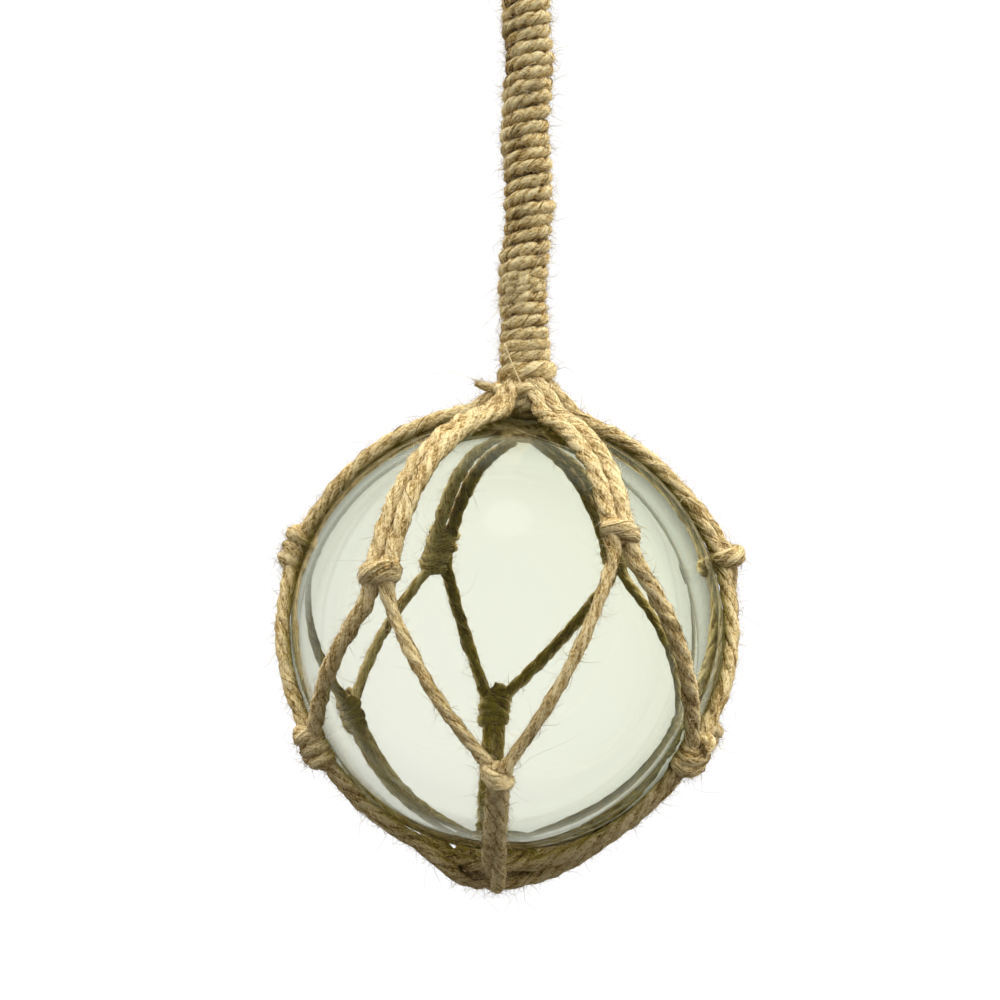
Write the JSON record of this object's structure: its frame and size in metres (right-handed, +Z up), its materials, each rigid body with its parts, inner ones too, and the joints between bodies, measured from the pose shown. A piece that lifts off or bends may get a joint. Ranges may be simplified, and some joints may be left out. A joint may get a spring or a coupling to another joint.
{
  "type": "rope-wrapped glass ball",
  "caption": "Clear glass float ball held in a knotted jute rope net, hung from a rope bound with jute yarn that ends in a loop for a hook.",
  "frame": {"origin": "the point inside the top of the hanging loop where a hook bears", "axes": "+Z up along the hanging rope, away from the ball; +X to the right as seen from the pictured side; the pictured side faces -Y"},
  "size_m": [0.1104, 0.1049, 0.2628],
  "materials": {
    "glass": "clear blown glass, polished",
    "jute_cord": "natural laid jute cord, hairy",
    "jute_yarn": "natural jute yarn, hairy"
  },
  "bodies": {
    "root": {"glass_ball": "glass", "net_cord_1a": "jute_cord", "net_cord_1b": "jute_cord", "net_cord_2a": "jute_cord", "net_cord_2b": "jute_cord", "net_cord_3a": "jute_cord", "net_cord_3b": "jute_cord", "net_cord_4a": "jute_cord", "net_cord_4b": "jute_cord", "net_cord_5a": "jute_cord", "net_cord_5b": "jute_cord", "net_cord_6a": "jute_cord", "net_cord_6b": "jute_cord", "neck_binding": "jute_yarn", "base_knot": "jute_cord", "served_stem": "jute_yarn", "hanging_loop": "jute_cord"}
  },
  "joints": []
}
